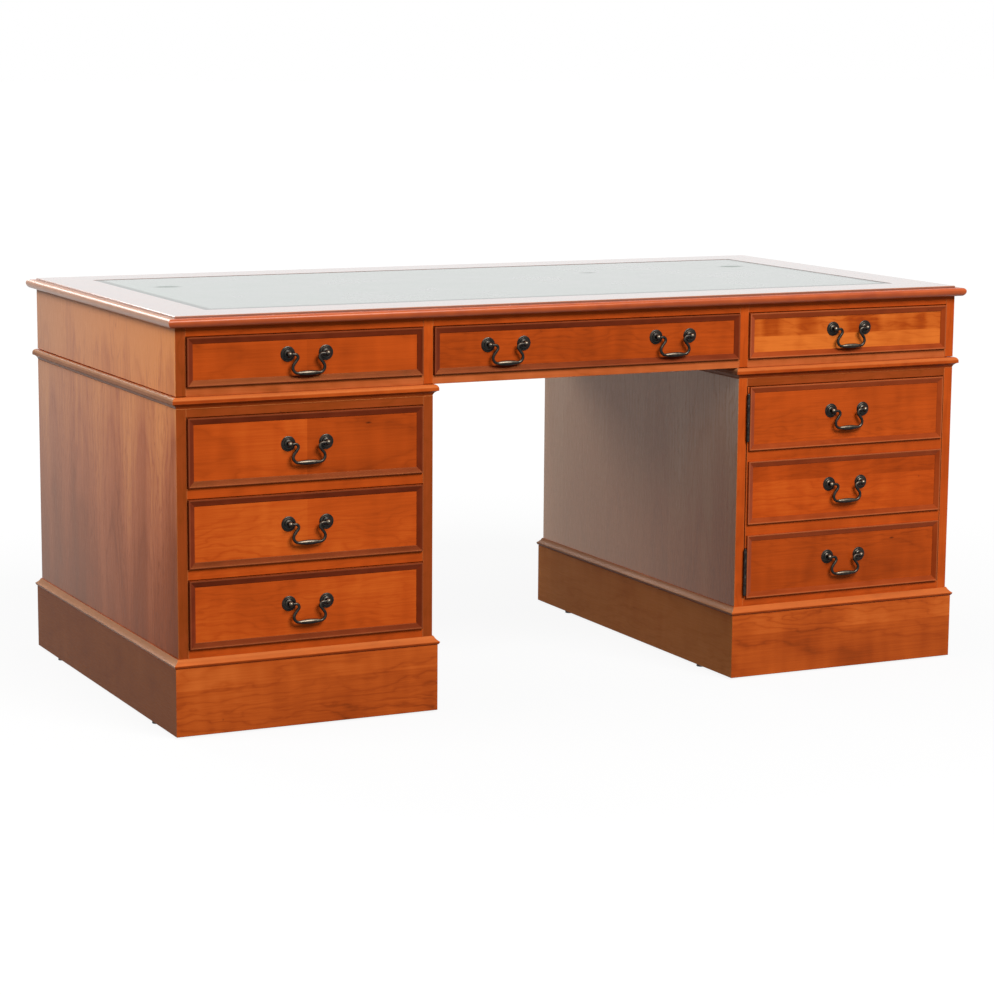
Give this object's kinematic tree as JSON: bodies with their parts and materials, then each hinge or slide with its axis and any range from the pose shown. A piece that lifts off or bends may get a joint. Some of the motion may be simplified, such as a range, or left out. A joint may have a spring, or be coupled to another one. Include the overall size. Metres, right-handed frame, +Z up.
{
  "type": "partners desk",
  "caption": "Pedestal partners desk with frieze drawers, pedestal drawers, cupboard doors made up as dummy drawers, swan-neck bail handles and an inset leather top.",
  "frame": {"origin": "on the floor under the middle of the desk", "axes": "+X to the right as seen from the front, +Y towards the rear, +Z up"},
  "size_m": [1.7348, 0.8908, 0.784],
  "materials": {
    "yew_veneer": "lacquered, semi-gloss",
    "yew_moulding": "lacquered, semi-gloss",
    "green_leather": "smooth, waxed",
    "antique_brass": "antiqued, rubbed on the high spots",
    "black_plastic": "moulded, matt"
  },
  "bodies": {
    "desk_carcase": {"desktop_panel": "yew_veneer", "desktop_edge_moulding": "yew_moulding", "leather_writing_surface": "green_leather", "frieze_carcase": "yew_veneer", "left_pedestal_carcase": "yew_veneer", "right_pedestal_carcase": "yew_veneer", "pedestal_tops": "yew_moulding", "plinths": "yew_veneer", "plinth_mouldings": "yew_moulding", "cupboard_shelves": "yew_veneer", "hinge_frame_leaves": "antique_brass", "floor_glides": "black_plastic"},
    "front_left_frieze_drawer": {"front_left_frieze_drawer": "yew_veneer", "front_left_frieze_handle_posts": "antique_brass"},
    "front_left_frieze_bail": {"front_left_frieze_bail": "antique_brass"},
    "front_centre_frieze_drawer": {"front_centre_frieze_drawer": "yew_veneer", "front_centre_frieze_handle_posts": "antique_brass"},
    "front_centre_frieze_bail_left": {"front_centre_frieze_bail_left": "antique_brass"},
    "front_centre_frieze_bail_right": {"front_centre_frieze_bail_right": "antique_brass"},
    "front_right_frieze_drawer": {"front_right_frieze_drawer": "yew_veneer", "front_right_frieze_handle_posts": "antique_brass"},
    "front_right_frieze_bail": {"front_right_frieze_bail": "antique_brass"},
    "front_bottom_drawer": {"front_bottom_drawer": "yew_veneer", "front_bottom_handle_posts": "antique_brass"},
    "front_bottom_bail": {"front_bottom_bail": "antique_brass"},
    "front_middle_drawer": {"front_middle_drawer": "yew_veneer", "front_middle_handle_posts": "antique_brass"},
    "front_middle_bail": {"front_middle_bail": "antique_brass"},
    "front_top_drawer": {"front_top_drawer": "yew_veneer", "front_top_handle_posts": "antique_brass"},
    "front_top_bail": {"front_top_bail": "antique_brass"},
    "front_door": {"front_door": "yew_veneer", "front_door_fittings": "antique_brass"},
    "front_door_bail_bottom": {"front_door_bail_bottom": "antique_brass"},
    "front_door_bail_middle": {"front_door_bail_middle": "antique_brass"},
    "front_door_bail_top": {"front_door_bail_top": "antique_brass"},
    "rear_left_frieze_drawer": {"rear_left_frieze_drawer": "yew_veneer", "rear_left_frieze_handle_posts": "antique_brass"},
    "rear_left_frieze_bail": {"rear_left_frieze_bail": "antique_brass"},
    "rear_centre_frieze_drawer": {"rear_centre_frieze_drawer": "yew_veneer", "rear_centre_frieze_handle_posts": "antique_brass"},
    "rear_centre_frieze_bail_left": {"rear_centre_frieze_bail_left": "antique_brass"},
    "rear_centre_frieze_bail_right": {"rear_centre_frieze_bail_right": "antique_brass"},
    "rear_right_frieze_drawer": {"rear_right_frieze_drawer": "yew_veneer", "rear_right_frieze_handle_posts": "antique_brass"},
    "rear_right_frieze_bail": {"rear_right_frieze_bail": "antique_brass"},
    "rear_bottom_drawer": {"rear_bottom_drawer": "yew_veneer", "rear_bottom_handle_posts": "antique_brass"},
    "rear_bottom_bail": {"rear_bottom_bail": "antique_brass"},
    "rear_middle_drawer": {"rear_middle_drawer": "yew_veneer", "rear_middle_handle_posts": "antique_brass"},
    "rear_middle_bail": {"rear_middle_bail": "antique_brass"},
    "rear_top_drawer": {"rear_top_drawer": "yew_veneer", "rear_top_handle_posts": "antique_brass"},
    "rear_top_bail": {"rear_top_bail": "antique_brass"},
    "rear_door": {"rear_door": "yew_veneer", "rear_door_fittings": "antique_brass"},
    "rear_door_bail_bottom": {"rear_door_bail_bottom": "antique_brass"},
    "rear_door_bail_middle": {"rear_door_bail_middle": "antique_brass"},
    "rear_door_bail_top": {"rear_door_bail_top": "antique_brass"}
  },
  "joints": [
    {"name": "front_left_frieze_drawer_slide", "type": "slide", "parent": "desk_carcase", "child": "front_left_frieze_drawer", "axis": [0, -1, 0], "range_m": [0, 0.3]},
    {"name": "front_left_frieze_bail_swing", "type": "hinge", "parent": "front_left_frieze_drawer", "child": "front_left_frieze_bail", "pos_m": [-0.593, -0.438, 0.70635], "axis": [-1, 0, 0], "range_deg": [-7.5, 95]},
    {"name": "front_centre_frieze_drawer_slide", "type": "slide", "parent": "desk_carcase", "child": "front_centre_frieze_drawer", "axis": [0, -1, 0], "range_m": [0, 0.3]},
    {"name": "front_centre_frieze_bail_left_swing", "type": "hinge", "parent": "front_centre_frieze_drawer", "child": "front_centre_frieze_bail_left", "pos_m": [-0.183, -0.438, 0.70635], "axis": [-1, 0, 0], "range_deg": [-7.5, 95]},
    {"name": "front_centre_frieze_bail_right_swing", "type": "hinge", "parent": "front_centre_frieze_drawer", "child": "front_centre_frieze_bail_right", "pos_m": [0.183, -0.438, 0.70635], "axis": [-1, 0, 0], "range_deg": [-7.5, 95]},
    {"name": "front_right_frieze_drawer_slide", "type": "slide", "parent": "desk_carcase", "child": "front_right_frieze_drawer", "axis": [0, -1, 0], "range_m": [0, 0.3]},
    {"name": "front_right_frieze_bail_swing", "type": "hinge", "parent": "front_right_frieze_drawer", "child": "front_right_frieze_bail", "pos_m": [0.593, -0.438, 0.70635], "axis": [-1, 0, 0], "range_deg": [-7.5, 95]},
    {"name": "front_bottom_drawer_slide", "type": "slide", "parent": "desk_carcase", "child": "front_bottom_drawer", "axis": [0, -1, 0], "range_m": [0, 0.32]},
    {"name": "front_bottom_bail_swing", "type": "hinge", "parent": "front_bottom_drawer", "child": "front_bottom_bail", "pos_m": [-0.593, -0.438, 0.23715], "axis": [-1, 0, 0], "range_deg": [-7.5, 95]},
    {"name": "front_middle_drawer_slide", "type": "slide", "parent": "desk_carcase", "child": "front_middle_drawer", "axis": [0, -1, 0], "range_m": [0, 0.32]},
    {"name": "front_middle_bail_swing", "type": "hinge", "parent": "front_middle_drawer", "child": "front_middle_bail", "pos_m": [-0.593, -0.438, 0.38815], "axis": [-1, 0, 0], "range_deg": [-7.5, 95]},
    {"name": "front_top_drawer_slide", "type": "slide", "parent": "desk_carcase", "child": "front_top_drawer", "axis": [0, -1, 0], "range_m": [0, 0.32]},
    {"name": "front_top_bail_swing", "type": "hinge", "parent": "front_top_drawer", "child": "front_top_bail", "pos_m": [-0.593, -0.438, 0.53915], "axis": [-1, 0, 0], "range_deg": [-7.5, 95]},
    {"name": "front_door_swing", "type": "hinge", "parent": "desk_carcase", "child": "front_door", "pos_m": [0.3572, -0.432, 0.381], "axis": [0, 0, -1], "range_deg": [0, 170]},
    {"name": "front_door_bail_bottom_swing", "type": "hinge", "parent": "front_door", "child": "front_door_bail_bottom", "pos_m": [0.593, -0.438, 0.23715], "axis": [-1, 0, 0], "range_deg": [-7.5, 95]},
    {"name": "front_door_bail_middle_swing", "type": "hinge", "parent": "front_door", "child": "front_door_bail_middle", "pos_m": [0.593, -0.438, 0.38815], "axis": [-1, 0, 0], "range_deg": [-7.5, 95]},
    {"name": "front_door_bail_top_swing", "type": "hinge", "parent": "front_door", "child": "front_door_bail_top", "pos_m": [0.593, -0.438, 0.53915], "axis": [-1, 0, 0], "range_deg": [-7.5, 95]},
    {"name": "rear_left_frieze_drawer_slide", "type": "slide", "parent": "desk_carcase", "child": "rear_left_frieze_drawer", "axis": [0, 1, 0], "range_m": [0, 0.3]},
    {"name": "rear_left_frieze_bail_swing", "type": "hinge", "parent": "rear_left_frieze_drawer", "child": "rear_left_frieze_bail", "pos_m": [0.593, 0.438, 0.70635], "axis": [1, 0, 0], "range_deg": [-7.5, 95]},
    {"name": "rear_centre_frieze_drawer_slide", "type": "slide", "parent": "desk_carcase", "child": "rear_centre_frieze_drawer", "axis": [0, 1, 0], "range_m": [0, 0.3]},
    {"name": "rear_centre_frieze_bail_left_swing", "type": "hinge", "parent": "rear_centre_frieze_drawer", "child": "rear_centre_frieze_bail_left", "pos_m": [0.183, 0.438, 0.70635], "axis": [1, 0, 0], "range_deg": [-7.5, 95]},
    {"name": "rear_centre_frieze_bail_right_swing", "type": "hinge", "parent": "rear_centre_frieze_drawer", "child": "rear_centre_frieze_bail_right", "pos_m": [-0.183, 0.438, 0.70635], "axis": [1, 0, 0], "range_deg": [-7.5, 95]},
    {"name": "rear_right_frieze_drawer_slide", "type": "slide", "parent": "desk_carcase", "child": "rear_right_frieze_drawer", "axis": [0, 1, 0], "range_m": [0, 0.3]},
    {"name": "rear_right_frieze_bail_swing", "type": "hinge", "parent": "rear_right_frieze_drawer", "child": "rear_right_frieze_bail", "pos_m": [-0.593, 0.438, 0.70635], "axis": [1, 0, 0], "range_deg": [-7.5, 95]},
    {"name": "rear_bottom_drawer_slide", "type": "slide", "parent": "desk_carcase", "child": "rear_bottom_drawer", "axis": [0, 1, 0], "range_m": [0, 0.32]},
    {"name": "rear_bottom_bail_swing", "type": "hinge", "parent": "rear_bottom_drawer", "child": "rear_bottom_bail", "pos_m": [0.593, 0.438, 0.23715], "axis": [1, 0, 0], "range_deg": [-7.5, 95]},
    {"name": "rear_middle_drawer_slide", "type": "slide", "parent": "desk_carcase", "child": "rear_middle_drawer", "axis": [0, 1, 0], "range_m": [0, 0.32]},
    {"name": "rear_middle_bail_swing", "type": "hinge", "parent": "rear_middle_drawer", "child": "rear_middle_bail", "pos_m": [0.593, 0.438, 0.38815], "axis": [1, 0, 0], "range_deg": [-7.5, 95]},
    {"name": "rear_top_drawer_slide", "type": "slide", "parent": "desk_carcase", "child": "rear_top_drawer", "axis": [0, 1, 0], "range_m": [0, 0.32]},
    {"name": "rear_top_bail_swing", "type": "hinge", "parent": "rear_top_drawer", "child": "rear_top_bail", "pos_m": [0.593, 0.438, 0.53915], "axis": [1, 0, 0], "range_deg": [-7.5, 95]},
    {"name": "rear_door_swing", "type": "hinge", "parent": "desk_carcase", "child": "rear_door", "pos_m": [-0.3572, 0.432, 0.381], "axis": [0, 0, -1], "range_deg": [0, 170]},
    {"name": "rear_door_bail_bottom_swing", "type": "hinge", "parent": "rear_door", "child": "rear_door_bail_bottom", "pos_m": [-0.593, 0.438, 0.23715], "axis": [1, 0, 0], "range_deg": [-7.5, 95]},
    {"name": "rear_door_bail_middle_swing", "type": "hinge", "parent": "rear_door", "child": "rear_door_bail_middle", "pos_m": [-0.593, 0.438, 0.38815], "axis": [1, 0, 0], "range_deg": [-7.5, 95]},
    {"name": "rear_door_bail_top_swing", "type": "hinge", "parent": "rear_door", "child": "rear_door_bail_top", "pos_m": [-0.593, 0.438, 0.53915], "axis": [1, 0, 0], "range_deg": [-7.5, 95]}
  ]
}
